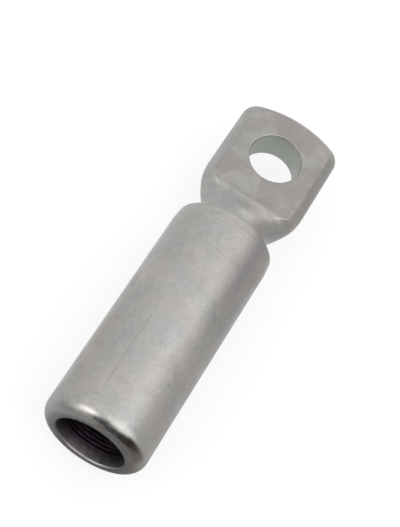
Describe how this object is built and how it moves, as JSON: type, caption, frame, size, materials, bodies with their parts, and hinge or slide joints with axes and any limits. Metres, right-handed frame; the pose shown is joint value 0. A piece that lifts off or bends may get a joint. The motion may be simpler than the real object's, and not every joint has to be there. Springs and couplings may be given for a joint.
{
  "type": "cable lug",
  "caption": "One-piece cable lug: a blind round barrel that takes a stripped conductor, a narrow round neck and a flat palm with a stud hole.",
  "frame": {"origin": "centre of the stud hole, halfway through the palm", "axes": "+Y along the lug from the barrel's mouth towards the palm's tip, +Z along the stud hole, square to the palm, +X across the palm"},
  "size_m": [0.0262, 0.0999, 0.025],
  "materials": {
    "aluminium": "satin, as pressed and turned"
  },
  "bodies": {
    "root": {"cable_lug": "aluminium"}
  },
  "joints": []
}
